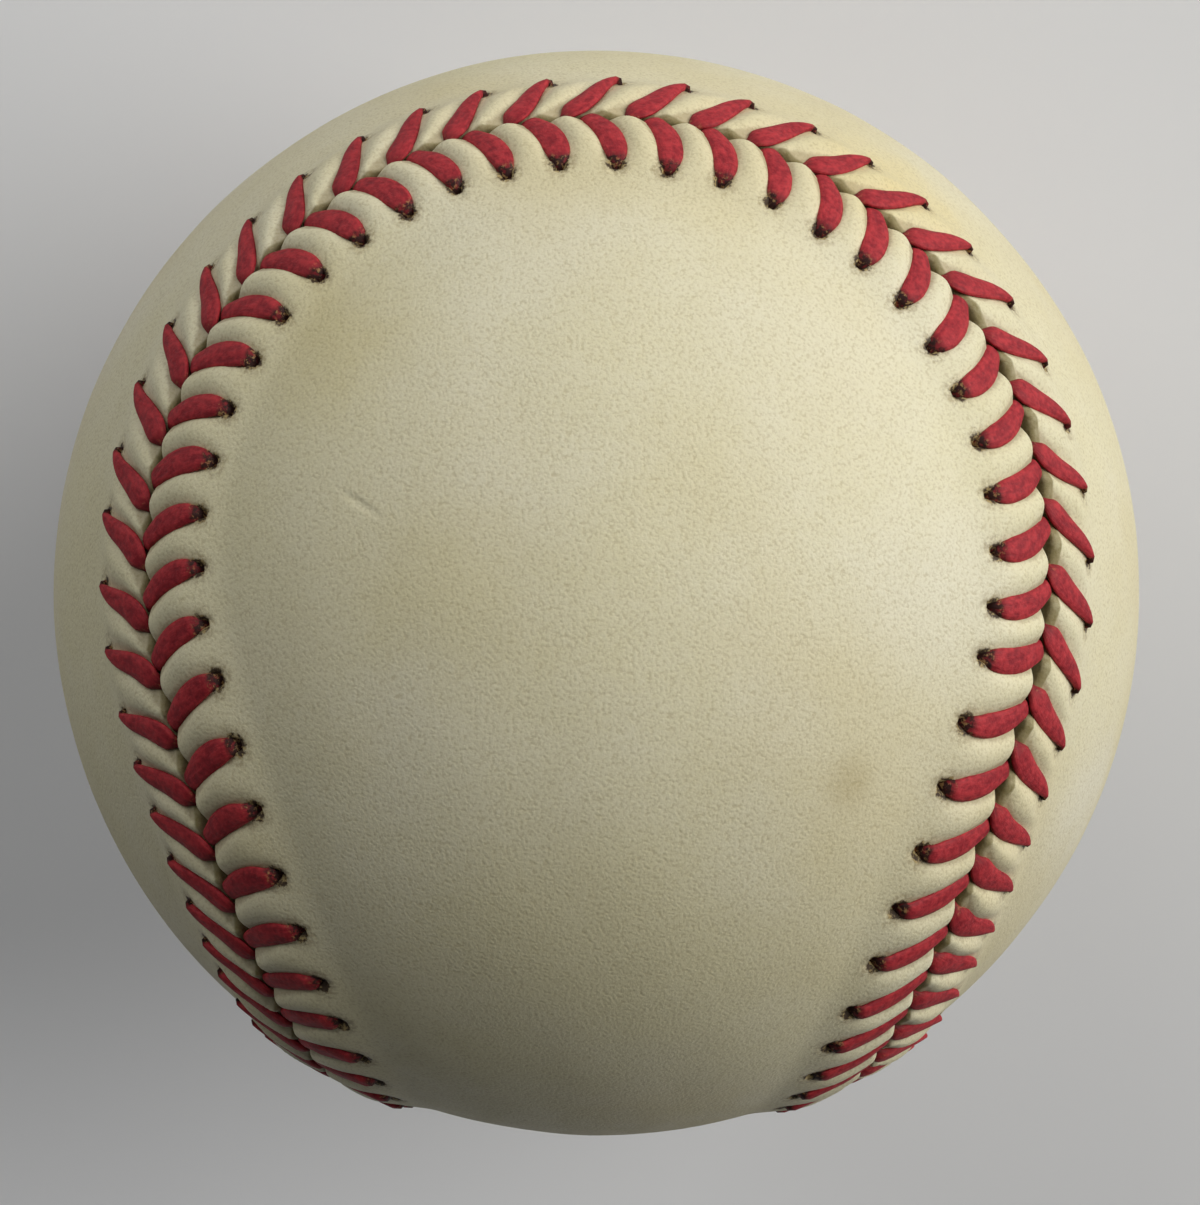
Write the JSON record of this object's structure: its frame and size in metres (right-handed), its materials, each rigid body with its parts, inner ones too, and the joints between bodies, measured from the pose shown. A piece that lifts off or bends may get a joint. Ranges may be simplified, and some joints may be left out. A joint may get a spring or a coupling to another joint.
{
  "type": "baseball",
  "caption": "Leather-covered ball of two hourglass panels joined by a raised figure-eight seam of red V stitches, over wool windings and a cushioned cork core.",
  "frame": {"origin": "centre of the ball", "axes": "+Z out of the middle of the panel face that the picture shows, -Y out of the narrow waist of cover panel A, +X towards one lobe of cover panel B; the seam repeats after a half turn about Y"},
  "size_m": [0.0746, 0.0746, 0.0746],
  "materials": {
    "cork": "cork granules bound with rubber",
    "black_rubber": "moulded rubber, matte",
    "red_rubber": "moulded rubber, matte",
    "grey_wool": "tightly wound wool yarn",
    "white_wool": "tightly wound wool yarn",
    "finishing_yarn": "smooth poly-cotton yarn, tightly wound",
    "adhesive": "dried latex adhesive, translucent",
    "cover_leather": "tawed full-grain leather, off-white, fine pebble grain, yellowed with age",
    "waxed_thread": "waxed red cotton thread, pressed flat"
  },
  "bodies": {
    "root": {"cork_core": "cork", "inner_rubber_upper": "black_rubber", "inner_rubber_lower": "black_rubber", "rubber_gasket": "red_rubber", "outer_rubber_shell": "red_rubber", "first_wool_winding": "grey_wool", "second_wool_winding": "white_wool", "third_wool_winding": "grey_wool", "finishing_yarn": "finishing_yarn", "adhesive_coat": "adhesive", "cover_panel_a": "cover_leather", "cover_panel_b": "cover_leather", "thread_strand_1": "waxed_thread", "thread_strand_2": "waxed_thread"}
  },
  "joints": []
}
